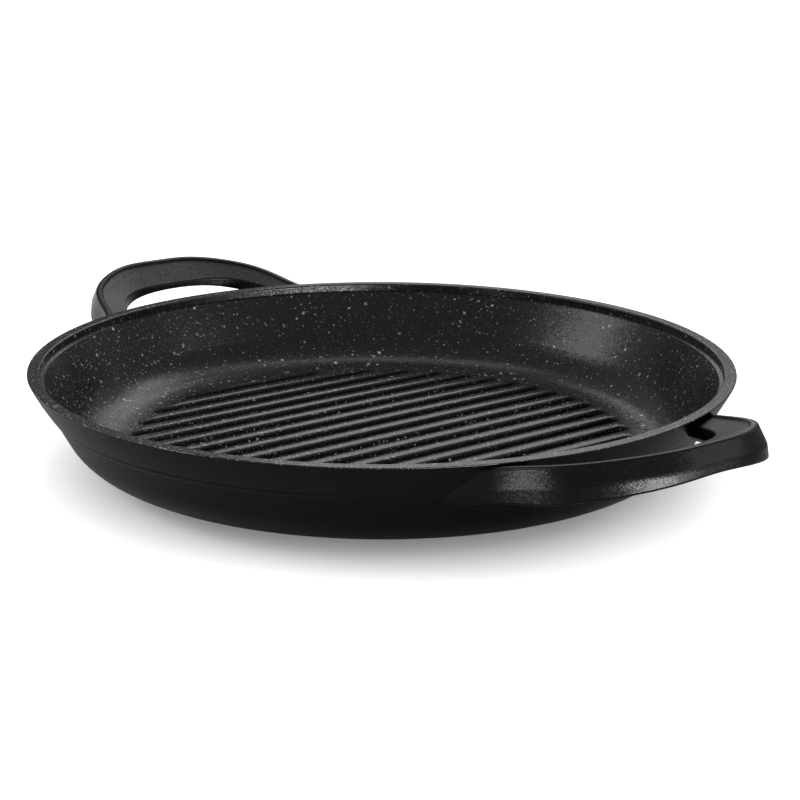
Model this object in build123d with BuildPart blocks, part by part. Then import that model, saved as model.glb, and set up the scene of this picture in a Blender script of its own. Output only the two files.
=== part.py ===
"""Round cast grill pan with two loop handles.

Millimetres. The origin is the middle of the base, on the table. +X points to the front handle, the
ribs run along Y and +Z is up. Sections are drawn as radius and height, so one revolve makes the bowl.
"""

import os
from math import cos, radians, sin, sqrt, tan

from build123d import *

# Rim and bowl, the sizes that the rest follows
rim_radius = 140.0
rim_height = 40.0
rim_land = 4.8
floor_height = 7.3
coat_thickness = 0.35
overrun = 5.0

# Outer wall, from the rim down to the foot, each inset measured from what is above it
parting_drop = 14.0
parting_inset = 8.2
parting_ledge = 0.4
upper_wall_crown = 0.4
heel_inset = 9.7
heel_height = 7.8
heel_round = 23.0
sole_inset = 20.2
foot_inset = 3.0
foot_step = 1.2
foot_edge = 0.4

# Inner wall, from the lid seat down to the floor
lid_seat_depth = 3.5
lid_seat_width = 1.5
lid_seat_fall = 0.4
rim_inner_draft = 0.2
rim_inner_round = 0.8
rim_outer_round = 0.3
inner_wall_lean = 30.0
floor_corner_round = 24.0

# Griddle grooves, cut into the flat floor
groove_pitch = 11.25
groove_width = 5.2
groove_depth = 3.0
groove_draft = 12.0
groove_end_gap = 0.8
groove_crest_chamfer = 0.5
groove_lift = 0.3

# Steel plate for induction hobs, pressed flush into the base
plate_inset = 14.5
plate_thickness = 0.8
plate_hole_radius = 4.0
plate_hole_margin = 24.0
plate_ring_count = 2
plate_holes_per_ring = 6

# Loop handle: the lip is its top edge, the crease its outer ridge and the hem its lower edge
root_sink = 13.0
root_half_width = 53.0
lip_overhang = 38.4
lip_rise = 10.0
lip_tilt = 13.2
lip_width = 2.3
lip_ridge = 1.0
lip_ridge_run = 0.6
crease_lead = 4.2
crease_rise = 4.0
crease_tilt = 14.0
crease_spread = 1.6
hem_lead = 2.1
hem_fall = 6.0
hem_spread = 2.2

# Underside of the loop, an arch seen along X
arch_rise = 0.8
arch_tilt = 3.3
arch_crown_inset = 16.0
arch_crown_drop = 4.5
arch_end_spread = 14.0
arch_haunch_drop = 8.2

# Finger opening and the dished top that falls to it
grip_width = 18.5
strut_width = 13.5
dish_edge_rise = 2.2
dish_edge_tilt = 11.0
dish_slope = 22.0
dish_overlap = 4.0

# Rounds along the loop's long edges
lip_round = 1.2
crease_round = 4.0
ridge_foot_round = 1.5
opening_foot_round = 0.6
opening_brow_round = 0.8
hem_round = 0.8

# Outlines of the loop as shares: how far out from the root, how wide, and how much of the spread
loop_shares = (
    (1.0, 0.0, 0.0),
    (0.984, 0.29, 0.3),
    (0.915, 0.47, 0.8),
    (0.80, 0.635, 1.0),
    (0.637, 0.785, 1.0),
    (0.43, 0.885, 0.9),
    (0.216, 0.945, 0.7),
    (0.04, 1.02, 0.6),
    (-0.06, 1.09, 0.5),
    (-0.20, 1.17, 0.4),
)
opening_shares = (
    (1.0, 0.0),
    (0.99, 0.30),
    (0.925, 0.56),
    (0.76, 0.765),
    (0.50, 0.91),
    (0.19, 1.0),
    (-0.30, 1.06),
)
haunch_shares = (
    (0.23, 0.26),
    (0.43, 0.66),
    (0.60, 0.87),
)

# Radii of the bowl that follow from the sizes above
parting_radius = rim_radius - parting_inset
heel_radius = parting_radius - parting_ledge - heel_inset
sole_radius = heel_radius - sole_inset
foot_radius = sole_radius - foot_inset
plate_radius = foot_radius - plate_inset
plate_ring_pitch = (plate_radius - plate_hole_margin) / plate_ring_count
lid_seat_radius = rim_radius - rim_land - rim_inner_draft - lid_seat_width
inner_wall_height = rim_height - lid_seat_depth - floor_height
floor_corner_radius = lid_seat_radius - inner_wall_height * tan(radians(inner_wall_lean))
flat_floor_radius = floor_corner_radius - floor_corner_round * tan(radians((90 - inner_wall_lean) / 2))
groove_circle_radius = flat_floor_radius - groove_end_gap

# Places on the loop that follow from the sizes above
root_reach = rim_radius - root_sink
lip_reach = rim_radius + lip_overhang
crease_reach = lip_reach + crease_lead
hem_reach = crease_reach + hem_lead
opening_reach = lip_reach - grip_width
opening_half_width = root_half_width - strut_width
arch_crown_half_width = root_half_width - arch_crown_inset
arch_end_half_width = root_half_width + arch_end_spread
arch_end_drop = arch_crown_drop + arch_haunch_drop
arch_tip_reach = crease_reach + hem_lead * (crease_rise - arch_rise) / (crease_rise + hem_fall)
opening_foot_height = rim_height + arch_rise - (hem_reach - opening_reach) * tan(radians(arch_tilt))
ridge_foot_reach = lip_reach - lip_width - lip_ridge_run
ridge_foot_height = rim_height + lip_rise - lip_ridge - (lip_width + lip_ridge_run) * tan(radians(lip_tilt))


def blank_section():
    """Half section of the pan as a solid blank, from the rim down to the foot."""
    parting_height = rim_height - parting_drop
    with BuildSketch(Plane.XZ) as section:
        with BuildLine():
            rim_edge = CenterArc((rim_radius - rim_outer_round, rim_height - rim_outer_round), rim_outer_round, 0, 90)
            SagittaArc(rim_edge @ 0, (parting_radius, parting_height), upper_wall_crown)
            Line((parting_radius, parting_height), (parting_radius - parting_ledge, parting_height))
            FilletPolyline(
                (parting_radius - parting_ledge, parting_height),
                (heel_radius, heel_height),
                (sole_radius, foot_step),
                radius=heel_round,
            )
            Polyline(
                (sole_radius, foot_step),
                (foot_radius, foot_step),
                (foot_radius, foot_edge),
                (foot_radius - foot_edge, 0),
                (0, 0),
                (0, rim_height),
                rim_edge @ 1,
            )
        make_face()
    return section.sketch


def hollow_section(skin):
    """Half section of the bowl's hollow, with its surface moved outwards by skin."""
    seat_height = rim_height - lid_seat_depth - skin
    seat_radius = lid_seat_radius + skin
    floor = floor_height - skin
    corner_radius = seat_radius - (seat_height - floor) * tan(radians(inner_wall_lean))
    with BuildSketch(Plane.XZ) as section:
        with BuildLine():
            FilletPolyline(
                (0, floor),
                (corner_radius, floor),
                (seat_radius, seat_height),
                radius=floor_corner_round + skin,
            )
            Line((seat_radius, seat_height), (seat_radius + lid_seat_width, seat_height + lid_seat_fall))
            FilletPolyline(
                (seat_radius + lid_seat_width, seat_height + lid_seat_fall),
                (seat_radius + lid_seat_width + rim_inner_draft, rim_height - skin),
                (rim_radius + overrun, rim_height - skin),
                radius=rim_inner_round - skin,
            )
            Polyline(
                (rim_radius + overrun, rim_height - skin),
                (rim_radius + overrun, rim_height + overrun),
                (0, rim_height + overrun),
                (0, floor),
            )
        make_face()
    return section.sketch


def groove_places():
    """X of each groove; they lie in pairs about a middle rib."""
    half_count = int((groove_circle_radius - groove_width) / groove_pitch + 1 / 2)
    return [groove_pitch * (step + 1 / 2) for step in range(-half_count, half_count)]


def groove_outlines(floor, skin):
    """Round-ended grooves a little over a floor, their outlines widened by skin."""
    with BuildSketch(Plane.XY.offset(floor + groove_lift)) as outlines:
        for place in groove_places():
            reach = sqrt(groove_circle_radius**2 - place**2)
            with Locations((place, 0)):
                SlotOverall(2 * (reach + skin), groove_width + 2 * skin, rotation=90)
    return outlines.sketch


def tilted_plane(reach, height, tilt):
    """Plane through a point over the X axis that climbs outwards by tilt degrees."""
    slope = radians(tilt)
    return Plane(
        origin=(reach, 0, height),
        x_dir=(cos(slope), 0, sin(slope)),
        z_dir=(-sin(slope), 0, cos(slope)),
    )


def mirrored_outline(plane, half, tilt):
    """Closed outline on a plane over X, from points of one half as seen from above."""
    reach = plane.origin.X
    side = [((out - reach) / cos(radians(tilt)), across) for out, across in half]
    other_side = [(out, -across) for out, across in side[:0:-1]]
    with BuildSketch(plane) as outline:
        with BuildLine():
            Spline(*other_side, *side)
            Line(side[-1], other_side[0])
        make_face()
    return outline.sketch


def loop_half(reach, spread):
    """Points of the loop's outer outline, from its tip round to the root."""
    half = []
    for reach_share, width_share, spread_share in loop_shares:
        out = root_reach + (reach - root_reach) * reach_share
        half.append((out, root_half_width * width_share + spread * spread_share))
    return half


def moved_in(half, distance):
    """The same half outline, moved inwards by a distance."""
    moved = [(half[0][0] - distance, half[0][1])]
    for before, point, after in zip(half, half[1:], half[2:]):
        step_out = after[0] - before[0]
        step_across = after[1] - before[1]
        length = sqrt(step_out**2 + step_across**2)
        moved.append((point[0] - distance * step_across / length, point[1] + distance * step_out / length))
    moved.append((half[-1][0], half[-1][1] - distance))
    return moved


def opening_half():
    """Points of the finger opening's outline, from its tip round to inside the wall."""
    span = opening_reach - root_reach
    return [(root_reach + span * reach, opening_half_width * width) for reach, width in opening_shares]


def arch_outline():
    """What lies under the loop's arched underside, seen along the tilted axis."""
    slope = radians(arch_tilt)
    plane = Plane(origin=(hem_reach, 0, rim_height + arch_rise), x_dir=(0, 1, 0), z_dir=(cos(slope), 0, sin(slope)))
    haunch = [(arch_crown_half_width, -arch_crown_drop)]
    for across_share, drop_share in haunch_shares:
        across = arch_crown_half_width + (arch_end_half_width - arch_crown_half_width) * across_share
        haunch.append((across, -arch_crown_drop - arch_haunch_drop * drop_share))
    haunch.append((arch_end_half_width, -arch_end_drop))
    other_haunch = [(-across, drop) for across, drop in haunch[::-1]]
    crown_slope = (arch_crown_half_width, -2 * arch_crown_drop)
    with BuildSketch(plane) as outline:
        with BuildLine():
            ThreePointArc(other_haunch[-1], (0, 0), haunch[0])
            Spline(*haunch, tangents=(crown_slope, (1, 0)))
            Spline(*other_haunch, tangents=((1, 0), (crown_slope[0], -crown_slope[1])))
            Polyline(
                haunch[-1],
                (arch_end_half_width, -rim_height),
                (-arch_end_half_width, -rim_height),
                other_haunch[0],
            )
        make_face()
    return outline.sketch


def nearest_edge(builder, reach, height):
    """The edge that passes nearest to a point over the X axis."""
    return builder.edges().sort_by_distance((reach, 0, height))[0]


groove_flare = groove_lift * tan(radians(groove_draft))

with BuildPart() as hollow_to_metal:
    revolve(hollow_section(coat_thickness), axis=Axis.Z)
    extrude(
        groove_outlines(floor_height - coat_thickness, coat_thickness + groove_flare),
        amount=-groove_depth - groove_lift,
        taper=groove_draft,
    )

with BuildPart() as hollow_to_coat:
    revolve(hollow_section(0), axis=Axis.Z)
    extrude(groove_outlines(floor_height, groove_flare), amount=-groove_depth - groove_lift, taper=groove_draft)
    extrude(
        groove_outlines(floor_height, groove_crest_chamfer + groove_lift),
        amount=-2 * groove_crest_chamfer - groove_lift,
        taper=45,
    )

with BuildPart() as induction_plate:
    with BuildSketch() as plate_outline:
        Circle(plate_radius)
        for ring in range(1, plate_ring_count + 1):
            with PolarLocations(plate_ring_pitch * ring, plate_holes_per_ring * ring):
                Circle(plate_hole_radius, mode=Mode.SUBTRACT)
    extrude(amount=plate_thickness)
induction_plate.part.label = "induction_plate"

with BuildPart() as pan_body:
    revolve(blank_section(), axis=Axis.Z)
    add(hollow_to_metal.part, mode=Mode.SUBTRACT)
    add(induction_plate.part, mode=Mode.SUBTRACT)
pan_body.part.label = "pan_body"

with BuildPart() as nonstick_coating:
    revolve(blank_section(), axis=Axis.Z)
    add(hollow_to_metal.part, mode=Mode.INTERSECT)
    add(hollow_to_coat.part, mode=Mode.SUBTRACT)
nonstick_coating.part.label = "nonstick_coating"

lip_plane = tilted_plane(lip_reach, rim_height + lip_rise, lip_tilt)
crease_plane = tilted_plane(crease_reach, rim_height + crease_rise, crease_tilt)
hem_plane = tilted_plane(hem_reach, rim_height - hem_fall, crease_tilt)
dish_top_plane = tilted_plane(lip_reach, rim_height + lip_rise - lip_ridge, lip_tilt)
dish_foot_height = rim_height + dish_edge_rise - dish_overlap * tan(radians(dish_slope))
dish_plane = tilted_plane(opening_reach - dish_overlap, dish_foot_height, dish_edge_tilt)

with BuildPart() as front_handle:
    loft(
        [
            mirrored_outline(hem_plane, loop_half(hem_reach, hem_spread), crease_tilt),
            mirrored_outline(crease_plane, loop_half(crease_reach, crease_spread), crease_tilt),
            mirrored_outline(lip_plane, loop_half(lip_reach, 0), lip_tilt),
        ],
        ruled=True,
    )
    fillet(nearest_edge(front_handle, crease_reach, rim_height + crease_rise), radius=crease_round)
    extrude(arch_outline(), amount=rim_radius, both=True, mode=Mode.SUBTRACT)
    loft(
        [
            mirrored_outline(dish_plane, moved_in(opening_half(), dish_overlap), dish_edge_tilt),
            mirrored_outline(dish_top_plane, moved_in(loop_half(lip_reach, 0), lip_width + lip_ridge_run), lip_tilt),
            mirrored_outline(lip_plane, moved_in(loop_half(lip_reach, 0), lip_width), lip_tilt),
        ],
        ruled=True,
        mode=Mode.SUBTRACT,
    )
    extrude(
        mirrored_outline(Plane.XY, opening_half(), 0),
        amount=2 * rim_height,
        mode=Mode.SUBTRACT,
    )
    fillet(nearest_edge(front_handle, lip_reach, rim_height + lip_rise), radius=lip_round)
    fillet(nearest_edge(front_handle, ridge_foot_reach, ridge_foot_height), radius=ridge_foot_round)
    fillet(nearest_edge(front_handle, opening_reach, rim_height + dish_edge_rise), radius=opening_brow_round)
    fillet(nearest_edge(front_handle, opening_reach, opening_foot_height), radius=opening_foot_round)
    fillet(nearest_edge(front_handle, arch_tip_reach, rim_height + arch_rise), radius=hem_round)
    revolve(blank_section(), axis=Axis.Z, mode=Mode.SUBTRACT)
front_handle.part.label = "front_handle"

with BuildPart() as rear_handle:
    mirror(front_handle.part, about=Plane.YZ)
rear_handle.part.label = "rear_handle"

os.makedirs("parts", exist_ok=True)
for piece in (pan_body, nonstick_coating, induction_plate, front_handle, rear_handle):
    export_step(piece.part, f"parts/{piece.part.label}.step")
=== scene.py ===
from math import cos, pi, radians, sin

import bpy
from mathutils import Euler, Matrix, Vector

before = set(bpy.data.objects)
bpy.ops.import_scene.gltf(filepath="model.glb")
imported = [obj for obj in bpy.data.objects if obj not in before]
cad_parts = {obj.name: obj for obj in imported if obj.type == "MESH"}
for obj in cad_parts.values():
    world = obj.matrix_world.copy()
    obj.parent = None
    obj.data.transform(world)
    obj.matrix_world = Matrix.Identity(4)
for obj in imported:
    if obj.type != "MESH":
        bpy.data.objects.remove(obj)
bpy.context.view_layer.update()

# Driving sizes of the pan in metres, as the frame has them
rim_radius = 0.140
parting_height = 0.026
parting_radius = 0.1318
groove_pitch = 0.01125
groove_circle_radius = 0.1015

# The camera of the photograph, solved from the rim, the base and the ribs. Places are in metres, the roll
# in degrees, lens and sensor in millimetres
camera_place = (0.56776, -0.42745, 0.22988)
camera_target = (0.00632, 0.00413, 0.0232)
camera_roll = 0.28
camera_lens = 82.55
camera_sensor = 36.0
camera_clip_start = 0.01

# Granite coat. Its flecks come in layers, coarse to fine: cells per metre, share of cells that hold a
# fleck, radius and raggedness of a fleck in cells, and its darkest and palest tone
granite_black = (0.009, 0.009, 0.0095, 1)
granite_roughness = 0.25
granite_specular = 0.25
granite_flakes_per_metre = 1500.0
granite_flake_tilt = 0.08
fleck_layers = (
    (330.0, 0.34, 0.33, 0.40, (0.08, 0.56)),
    (640.0, 0.80, 0.33, 0.30, (0.04, 0.44)),
    (1250.0, 0.90, 0.36, 0.30, (0.02, 0.20)),
)

# Factors on those shares, at the rim on the -Y side and from the middle of the pan onwards
spray_rim_factor = 1.7
spray_middle_factor = 0.50

# Shape of a fleck: scatter of the cells, waves of its edge per cell, smallest size and solid core
fleck_scatter = 0.9
fleck_edge_waves = 2.5
fleck_smallest_share = 0.35
fleck_core_share = 0.6

# Rounded rib tops: depth, turn of the crest within one pitch in degrees, and fade at the ribs' ends
rib_crown_depth = 0.00036
rib_crown_turn = 22
rib_fade_outside = 0.0005
rib_fade_inside = 0.0025

# Satin outer coat: flakes with a tone past the start of the ramp are paler, and wear varies the roughness
outer_flakes_per_metre = 2800.0
outer_flake_tilt = 0.15
outer_ramp = ((0.45, (0.002, 0.002, 0.0021, 1)), (1.0, (0.009, 0.009, 0.0093, 1)))
outer_roughness = (0.28, 0.34)
outer_specular = 0.13
wear_scale = 60.0
wear_detail = 3.0

# Parting line round the wall: depth, half its height, and where it stops outside the wall
parting_depth = 0.0004
parting_half_height = 0.0004
parting_fade_start = 0.0008
parting_fade_end = 0.0016

# Brushed steel of the plate, drawn out along X
steel_ramp = ((0.3, (0.46, 0.46, 0.45, 1)), (0.7, (0.62, 0.62, 0.61, 1)))
steel_roughness = (0.26, 0.44)
brush_stretch = (12.0, 1800.0, 12.0)
brush_detail = 4.0
brush_fineness = 0.65
brush_strength = 0.3
brush_depth = 0.00005

# The floor lies just under the base. Its glow for the camera grows between two distances from the middle,
# so that the real contact shadow stays, and the weak glow near the pan paints more shadow round it. Its
# glow in reflections grows further out, which paints shade near the pan in reflections too
floor_size = 8.0
floor_gap = 0.0002
floor_grey = (0.8, 0.8, 0.8, 1)
painted_shadow_glow = 0.17
floor_glow_far = 0.90
painted_shadow_span = (0.096, 0.160)
mirror_painted_shadow_span = (0.22, 0.50)
white = (1, 1, 1, 1)
studio_strength = 0.45

# Sockets of a Mix node for colours, which have the same names as those for numbers
mix_first = 6
mix_second = 7
mix_result = 2


def deselect_all():
    for other in bpy.context.selected_objects:
        other.select_set(False)


def paint(obj, material):
    obj.data.materials.clear()
    obj.data.materials.append(material)


def put_node(tree, kind, place, **values):
    """One shader node at a place in the tree, with its plain settings and socket values."""
    node = tree.nodes.new(kind)
    node.location = place
    for name, value in values.items():
        if name in node.inputs:
            node.inputs[name].default_value = value
        else:
            setattr(node, name, value)
    return node


def put_math(tree, place, operation, *operands):
    """The value of a Math node, whose operands are sockets or plain numbers."""
    node = put_node(tree, "ShaderNodeMath", place, operation=operation)
    for socket, operand in zip(node.inputs, operands):
        if isinstance(operand, bpy.types.NodeSocket):
            tree.links.new(operand, socket)
        else:
            socket.default_value = operand
    return node.outputs["Value"]


def put_range(tree, place, source, before, after, **values):
    """A value carried from one span of numbers to another, and kept inside it."""
    node = put_node(tree, "ShaderNodeMapRange", place, **values)
    for name, number in zip(("From Min", "From Max", "To Min", "To Max"), (*before, *after)):
        node.inputs[name].default_value = number
    tree.links.new(source, node.inputs["Value"])
    return node.outputs["Result"]


def put_ramp(tree, place, source, stops):
    """A colour ramp between two stops, each a (position, colour)."""
    node = put_node(tree, "ShaderNodeValToRGB", place)
    for element, (position, colour) in zip(node.color_ramp.elements, stops):
        element.position = position
        element.color = colour
    tree.links.new(source, node.inputs["Fac"])
    return node.outputs["Color"]


def put_bump(tree, place, height, depth, normal=None, strength=1.0):
    """A normal bent by a height map of a depth in metres, over another normal where one is given."""
    node = put_node(tree, "ShaderNodeBump", place, Strength=strength, Distance=depth)
    tree.links.new(height, node.inputs["Height"])
    if normal is not None:
        tree.links.new(normal, node.inputs["Normal"])
    return node.outputs["Normal"]


def put_parts(tree, place, point):
    """The X, Y and Z of a point."""
    node = put_node(tree, "ShaderNodeSeparateXYZ", place)
    tree.links.new(point, node.inputs["Vector"])
    return node.outputs


def put_radius(tree, place, point):
    """The distance of a point from the pan's upright axis."""
    level = put_node(tree, "ShaderNodeVectorMath", place, operation="MULTIPLY")
    level.inputs[1].default_value = (1, 1, 0)
    tree.links.new(point, level.inputs[0])
    length = put_node(tree, "ShaderNodeVectorMath", (place[0] + 200, place[1]), operation="LENGTH")
    tree.links.new(level.outputs["Vector"], length.inputs[0])
    return length.outputs["Value"]


def put_object_point(tree):
    """The place of each point on the piece, in metres."""
    return put_node(tree, "ShaderNodeTexCoord", (-1950, 0)).outputs["Object"]


def empty_material(name):
    """A node material with nothing but its output."""
    material = bpy.data.materials.new(name)
    material.use_nodes = True
    tree = material.node_tree
    tree.nodes.clear()
    output = put_node(tree, "ShaderNodeOutputMaterial", (900, 0))
    return material, tree, output.inputs["Surface"]


def new_material(name):
    """A node material with its output and one Principled BSDF."""
    material, tree, surface = empty_material(name)
    shader = put_node(tree, "ShaderNodeBsdfPrincipled", (600, 0))
    tree.links.new(shader.outputs["BSDF"], surface)
    return material, tree, shader


def new_group(name, inputs, outputs):
    """A shader node group with inputs and outputs, each a (name, kind)."""
    group = bpy.data.node_groups.new(name, "ShaderNodeTree")
    for socket_name, kind in inputs:
        group.interface.new_socket(socket_name, in_out="INPUT", socket_type=kind)
    for socket_name, kind in outputs:
        group.interface.new_socket(socket_name, in_out="OUTPUT", socket_type=kind)
    start = put_node(group, "NodeGroupInput", (-1100, 0))
    end = put_node(group, "NodeGroupOutput", (900, 0))
    return group, start.outputs, end.inputs


def place_group(tree, group, place, point, **values):
    """A group in a material, fed with a point, with its values under their names joined by underscores."""
    node = put_node(tree, "ShaderNodeGroup", place)
    node.node_tree = group
    tree.links.new(point, node.inputs["Vector"])
    for name, value in values.items():
        node.inputs[name.replace("_", " ")].default_value = value
    return node


def fleck_group():
    """Flecks with ragged edges, scattered in cells: a mask of them and a random tone for each."""
    group, given, result = new_group(
        "granite_flecks",
        (
            ("Vector", "NodeSocketVector"),
            ("Cells per Metre", "NodeSocketFloat"),
            ("Share of Cells", "NodeSocketFloat"),
            ("Fleck Radius", "NodeSocketFloat"),
            ("Raggedness", "NodeSocketFloat"),
        ),
        (("Mask", "NodeSocketFloat"), ("Tone", "NodeSocketFloat")),
    )
    link = group.links.new
    cells = put_node(group, "ShaderNodeTexVoronoi", (-700, 100), feature="F1", Randomness=fleck_scatter)
    link(given["Vector"], cells.inputs["Vector"])
    link(given["Cells per Metre"], cells.inputs["Scale"])
    chance = put_node(group, "ShaderNodeSeparateColor", (-500, 250))
    link(cells.outputs["Color"], chance.inputs["Color"])
    chosen = put_math(group, (-300, 300), "LESS_THAN", chance.outputs["Red"], given["Share of Cells"])
    size = put_range(group, (-300, 120), chance.outputs["Green"], (0.0, 1.0), (fleck_smallest_share, 1.0))
    radius = put_math(group, (-100, 120), "MULTIPLY", size, given["Fleck Radius"])

    waves = put_math(group, (-900, -320), "MULTIPLY", given["Cells per Metre"], fleck_edge_waves)
    ragged = put_node(group, "ShaderNodeTexNoise", (-700, -300), Detail=1.0)
    link(given["Vector"], ragged.inputs["Vector"])
    link(waves, ragged.inputs["Scale"])
    wobble = put_math(group, (-500, -300), "SUBTRACT", ragged.outputs["Fac"], 0.5)
    wobble_size = put_math(group, (-300, -300), "MULTIPLY", wobble, given["Raggedness"])
    distance = put_math(group, (-100, -100), "ADD", cells.outputs["Distance"], wobble_size)
    inside = put_math(group, (100, 0), "DIVIDE", distance, radius)
    soft = put_range(group, (300, 0), inside, (1.0, fleck_core_share), (0.0, 1.0))
    link(put_math(group, (500, 0), "MULTIPLY", soft, chosen), result["Mask"])
    link(chance.outputs["Blue"], result["Tone"])
    return group


def flake_group():
    """Fine flakes, each with a random tone and a normal tilted its own way."""
    group, given, result = new_group(
        "coat_flakes",
        (
            ("Vector", "NodeSocketVector"),
            ("Flakes per Metre", "NodeSocketFloat"),
            ("Tilt", "NodeSocketFloat"),
        ),
        (("Tone", "NodeSocketFloat"), ("Normal", "NodeSocketVector")),
    )
    link = group.links.new
    cells = put_node(group, "ShaderNodeTexVoronoi", (-700, 0), feature="F1", Randomness=1.0)
    link(given["Vector"], cells.inputs["Vector"])
    link(given["Flakes per Metre"], cells.inputs["Scale"])
    centred = put_node(group, "ShaderNodeVectorMath", (-450, 0), operation="SUBTRACT")
    centred.inputs[1].default_value = (0.5, 0.5, 0.5)
    link(cells.outputs["Color"], centred.inputs[0])
    tilted = put_node(group, "ShaderNodeVectorMath", (-200, 0), operation="SCALE")
    link(centred.outputs["Vector"], tilted.inputs[0])
    link(given["Tilt"], tilted.inputs["Scale"])
    surface = put_node(group, "ShaderNodeNewGeometry", (-200, -250))
    together = put_node(group, "ShaderNodeVectorMath", (50, -50), operation="ADD")
    link(tilted.outputs["Vector"], together.inputs[0])
    link(surface.outputs["Normal"], together.inputs[1])
    normal = put_node(group, "ShaderNodeVectorMath", (300, -50), operation="NORMALIZE")
    link(together.outputs["Vector"], normal.inputs[0])
    link(normal.outputs["Vector"], result["Normal"])
    chance = put_node(group, "ShaderNodeSeparateColor", (-200, 250))
    link(cells.outputs["Color"], chance.inputs["Color"])
    link(chance.outputs["Red"], result["Tone"])
    return group


def rib_crowns(tree, point, across, normal):
    """A normal that rounds the tops of the ribs, inside the circle where the grooves end."""
    turn = radians(rib_crown_turn)
    phase = put_math(tree, (-1300, -1000), "MULTIPLY_ADD", across["X"], 2 * pi / groove_pitch, turn)
    crest = put_math(tree, (-1100, -1000), "COSINE", phase)
    radius = put_radius(tree, (-1300, -1250), point)
    fade = (groove_circle_radius + rib_fade_outside, groove_circle_radius - rib_fade_inside)
    on_ribs = put_range(tree, (-900, -1250), radius, fade, (0.0, 1.0))
    crown = put_math(tree, (-700, -1100), "MULTIPLY", crest, on_ribs)
    return put_bump(tree, (200, -900), crown, rib_crown_depth, normal)


def granite_coat(flecks, flakes):
    """Satin black non-stick coat with white and grey flecks of three sizes."""
    material, tree, shader = new_material("granite_coat")
    link = tree.links.new
    point = put_object_point(tree)
    across = put_parts(tree, (-1700, 200), point)
    spray_factors = (spray_rim_factor, spray_middle_factor)
    spray = put_range(tree, (-1500, 300), across["Y"], (-rim_radius, 0.0), spray_factors)
    colour = None
    for number, (cells, share, radius, raggedness, tones) in enumerate(fleck_layers):
        height = 500 - 420 * number
        layer = place_group(
            tree,
            flecks,
            (-1100, height),
            point,
            Cells_per_Metre=cells,
            Fleck_Radius=radius,
            Raggedness=raggedness,
        )
        thinned = put_math(tree, (-1300, height), "MULTIPLY", spray, share)
        link(thinned, layer.inputs["Share of Cells"])
        tone = put_range(tree, (-850, height + 120), layer.outputs["Tone"], (0.0, 1.0), tones)
        mix = put_node(tree, "ShaderNodeMix", (-500, height), data_type="RGBA")
        link(layer.outputs["Mask"], mix.inputs["Factor"])
        if colour is None:
            mix.inputs[mix_first].default_value = granite_black
        else:
            link(colour, mix.inputs[mix_first])
        link(tone, mix.inputs[mix_second])
        colour = mix.outputs[mix_result]
    link(colour, shader.inputs["Base Color"])
    grain = place_group(
        tree,
        flakes,
        (-200, -900),
        point,
        Flakes_per_Metre=granite_flakes_per_metre,
        Tilt=granite_flake_tilt,
    )
    link(rib_crowns(tree, point, across, grain.outputs["Normal"]), shader.inputs["Normal"])
    shader.inputs["Roughness"].default_value = granite_roughness
    shader.inputs["Specular IOR Level"].default_value = granite_specular
    return material


def parting_line(tree, point, normal):
    """A normal with the small step of the parting line round the wall, but not on the loops."""
    height = put_parts(tree, (-1150, -650), point)["Z"]
    span = (parting_height - parting_half_height, parting_height + parting_half_height)
    step = put_range(tree, (-900, -600), height, span, (0.0, 1.0))
    radius = put_radius(tree, (-1150, -850), point)
    fade = (parting_radius + parting_fade_end, parting_radius + parting_fade_start)
    on_wall = put_range(tree, (-750, -850), radius, fade, (0.0, 1.0))
    ledge = put_math(tree, (-500, -700), "MULTIPLY", step, on_wall)
    return put_bump(tree, (-200, -500), ledge, parting_depth, normal)


def outer_coat(flakes):
    """Satin near-black outer coat with a fine sparkle grain."""
    material, tree, shader = new_material("outer_coat")
    link = tree.links.new
    point = put_object_point(tree)
    grain = place_group(
        tree,
        flakes,
        (-1000, 0),
        point,
        Flakes_per_Metre=outer_flakes_per_metre,
        Tilt=outer_flake_tilt,
    )
    link(put_ramp(tree, (-700, 100), grain.outputs["Tone"], outer_ramp), shader.inputs["Base Color"])
    wear = put_node(tree, "ShaderNodeTexNoise", (-1000, -300), Scale=wear_scale, Detail=wear_detail)
    link(point, wear.inputs["Vector"])
    gloss = put_range(tree, (-700, -300), wear.outputs["Fac"], (0.0, 1.0), outer_roughness)
    link(gloss, shader.inputs["Roughness"])
    link(parting_line(tree, point, grain.outputs["Normal"]), shader.inputs["Normal"])
    shader.inputs["Specular IOR Level"].default_value = outer_specular
    return material


def plate_steel():
    """Brushed stainless steel of the plate in the base."""
    material, tree, shader = new_material("plate_steel")
    link = tree.links.new
    lengthwise = put_node(tree, "ShaderNodeMapping", (-1150, 0), Scale=brush_stretch)
    link(put_object_point(tree), lengthwise.inputs["Vector"])
    brush = put_node(tree, "ShaderNodeTexNoise", (-900, 0), Scale=1.0, Detail=brush_detail)
    brush.inputs["Roughness"].default_value = brush_fineness
    link(lengthwise.outputs["Vector"], brush.inputs["Vector"])
    strokes = brush.outputs["Fac"]
    link(put_ramp(tree, (-600, 150), strokes, steel_ramp), shader.inputs["Base Color"])
    link(put_range(tree, (-600, -120), strokes, (0.0, 1.0), steel_roughness), shader.inputs["Roughness"])
    scratches = put_bump(tree, (100, -300), strokes, brush_depth, strength=brush_strength)
    link(scratches, shader.inputs["Normal"])
    shader.inputs["Metallic"].default_value = 1.0
    return material


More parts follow.
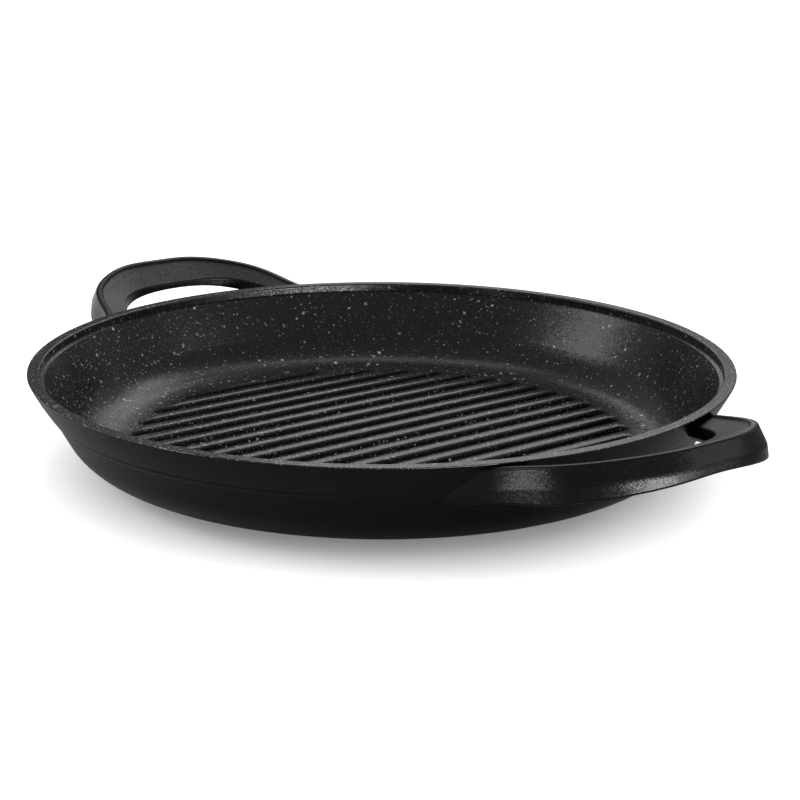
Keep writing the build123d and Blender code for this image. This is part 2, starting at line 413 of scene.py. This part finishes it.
def add_floor():
    """Pale floor, with a glow for the camera and for reflections that lights nothing, weaker near the pan
    as a painted shadow.
    """
    deselect_all()
    bpy.ops.mesh.primitive_plane_add(size=floor_size, location=(0, 0, -floor_gap))
    floor = bpy.context.active_object
    floor.name = "floor"
    material, tree, surface = empty_material("floor")
    link = tree.links.new
    point = put_node(tree, "ShaderNodeTexCoord", (-1000, -300)).outputs["Object"]
    length = put_node(tree, "ShaderNodeVectorMath", (-800, -300), operation="LENGTH")
    link(point, length.inputs[0])
    distance = length.outputs["Value"]
    # Painted shadow: the glow the camera sees is weakest near the pan
    seen_glow = put_range(
        tree,
        (-600, -300),
        distance,
        painted_shadow_span,
        (painted_shadow_glow, floor_glow_far),
        interpolation_type="SMOOTHSTEP",
    )
    # Painted shade in reflections: no glow near the pan, full glow far out
    mirror_glow = put_range(
        tree,
        (-600, -600),
        distance,
        mirror_painted_shadow_span,
        (0.0, floor_glow_far),
        interpolation_type="SMOOTHSTEP",
    )
    path = put_node(tree, "ShaderNodeLightPath", (-600, -100)).outputs
    seen = put_math(tree, (-200, -50), "MULTIPLY", path["Is Camera Ray"], seen_glow)
    mirrored = put_math(tree, (-200, -250), "MULTIPLY", path["Is Glossy Ray"], mirror_glow)
    glow = put_node(tree, "ShaderNodeEmission", (200, -100))
    link(put_math(tree, (0, -200), "ADD", seen, mirrored), glow.inputs["Strength"])
    diffuse = put_node(tree, "ShaderNodeBsdfDiffuse", (200, 100), Color=floor_grey)
    both = put_node(tree, "ShaderNodeAddShader", (500, 0))
    link(diffuse.outputs["BSDF"], both.inputs[0])
    link(glow.outputs["Emission"], both.inputs[1])
    link(both.outputs["Shader"], surface)
    paint(floor, material)


def set_world():
    """White to the camera, a soft grey studio to the pan."""
    world = bpy.data.worlds.new("studio")
    bpy.context.scene.world = world
    world.use_nodes = True
    tree = world.node_tree
    tree.nodes.clear()
    link = tree.links.new
    output = put_node(tree, "ShaderNodeOutputWorld", (600, 0))
    studio = put_node(tree, "ShaderNodeBackground", (0, 100), Color=white, Strength=studio_strength)
    backdrop = put_node(tree, "ShaderNodeBackground", (0, -100), Color=white, Strength=1.0)
    path = put_node(tree, "ShaderNodeLightPath", (-400, 100))
    mix = put_node(tree, "ShaderNodeMixShader", (300, 0))
    link(path.outputs["Is Camera Ray"], mix.inputs["Fac"])
    link(studio.outputs["Background"], mix.inputs[1])
    link(backdrop.outputs["Background"], mix.inputs[2])
    link(mix.outputs["Shader"], output.inputs["Surface"])


def around(azimuth, elevation, distance):
    """A place round the pan, by compass angle from +X and height angle, in degrees."""
    flat = distance * cos(radians(elevation))
    height = distance * sin(radians(elevation))
    return (flat * cos(radians(azimuth)), flat * sin(radians(azimuth)), height)


def facing(place, target):
    """The turn that points a lamp or a camera at a place towards a target."""
    return (Vector(target) - Vector(place)).to_track_quat("-Z", "Y")


def add_softbox(name, place, target, width, height, power):
    """A soft rectangular lamp that faces a target."""
    lamp = bpy.data.lights.new(name, "AREA")
    lamp.shape = "RECTANGLE"
    lamp.size = width
    lamp.size_y = height
    lamp.energy = power
    holder = bpy.data.objects.new(name, lamp)
    bpy.context.scene.collection.objects.link(holder)
    holder.location = place
    holder.rotation_euler = facing(place, target).to_euler()
    return holder


def add_painted_shade_flag(name, place, turn, width, height, shade):
    """A dark upright card that shows only in reflections, where the photograph's room was dark."""
    deselect_all()
    bpy.ops.mesh.primitive_plane_add(size=1.0, location=place)
    flag = bpy.context.active_object
    flag.name = name
    flag.scale = (width, height, 1.0)
    flag.rotation_euler = (radians(90), 0, radians(turn))
    bpy.ops.object.transform_apply(location=True, rotation=True, scale=True)
    # Painted shade: the card's dark colour shows only in reflections
    material, tree, shader = new_material(name)
    shader.inputs["Base Color"].default_value = (shade, shade, shade, 1)
    paint(flag, material)
    flag.visible_camera = False
    flag.visible_diffuse = False
    flag.visible_shadow = False


def add_camera():
    data = bpy.data.cameras.new("camera")
    data.lens = camera_lens
    data.sensor_width = camera_sensor
    data.clip_start = camera_clip_start
    camera = bpy.data.objects.new("camera", data)
    bpy.context.scene.collection.objects.link(camera)
    camera.location = camera_place
    roll = Euler((0, 0, radians(camera_roll))).to_quaternion()
    camera.rotation_euler = (facing(camera_place, camera_target) @ roll).to_euler()
    bpy.context.scene.camera = camera


# Targets of the lamps
pan_middle = (0, 0, 0.02)
rim_middle = (0, 0, 0.04)
front_floor = (0.1, 0, 0.03)
front_root = (0.141, -0.05, 0.035)
front_tip = (0.18, 0, 0.04)

# Lamps that light the pan and show in it: name, place, target, width and height in metres, power in watts
softboxes = (
    ("back_softbox", around(137, 34.5, 1.5), pan_middle, 0.60, 0.37, 1.55),
    ("back_low_softbox", around(137, 22.5, 1.5), pan_middle, 0.60, 0.26, 0.50),
    ("back_right_softbox", around(112, 41, 1.5), pan_middle, 0.40, 0.30, 1.4),
    ("left_softbox", around(-131, 30, 1.3), pan_middle, 0.6, 0.45, 4.6),
    ("right_high_softbox", around(38, 27, 1.4), front_floor, 0.9, 0.30, 2.8),
)

# Lamps that only give highlights, in the same columns
highlights = (
    ("root_card", (0.020, -0.303, 0.033), front_root, 0.052, 0.06, 0.30),
    ("rim_strip", around(137, 60, 1.5), rim_middle, 0.9, 0.12, 1.3),
    ("front_strip", around(-10, 5, 1.3), front_tip, 0.8, 0.18, 38),
    ("right_strip", around(21, 5, 1.3), front_tip, 0.52, 0.18, 6),
)

# Dark cards, painted shade that only reflections see: name, place, turn about the upright axis in degrees,
# width, height and shade
painted_shade_flags = (
    ("right_flag", (0.22, 0.20, 0.045), 0, 0.40, 0.09, 0.25),
    ("front_flag", (0.22, -0.55, 0.03), 0, 0.34, 0.14, 0.01),
    ("back_flag", (-0.29, 0.57, 0.15), 0, 0.24, 0.10, 0.01),
    ("left_flag", (-0.59, 0.12, 0.17), 80, 0.40, 0.18, 0.01),
)

flakes = flake_group()
coat = granite_coat(fleck_group(), flakes)
outer = outer_coat(flakes)
for name in ("pan_body", "front_handle", "rear_handle"):
    paint(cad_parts[name], outer)
paint(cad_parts["nonstick_coating"], coat)
paint(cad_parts["induction_plate"], plate_steel())

add_floor()
set_world()
for row in softboxes:
    add_softbox(*row)
for row in highlights:
    add_softbox(*row).visible_diffuse = False
for row in painted_shade_flags:
    add_painted_shade_flag(*row)
add_camera()
bpy.context.scene.view_settings.view_transform = "Standard"
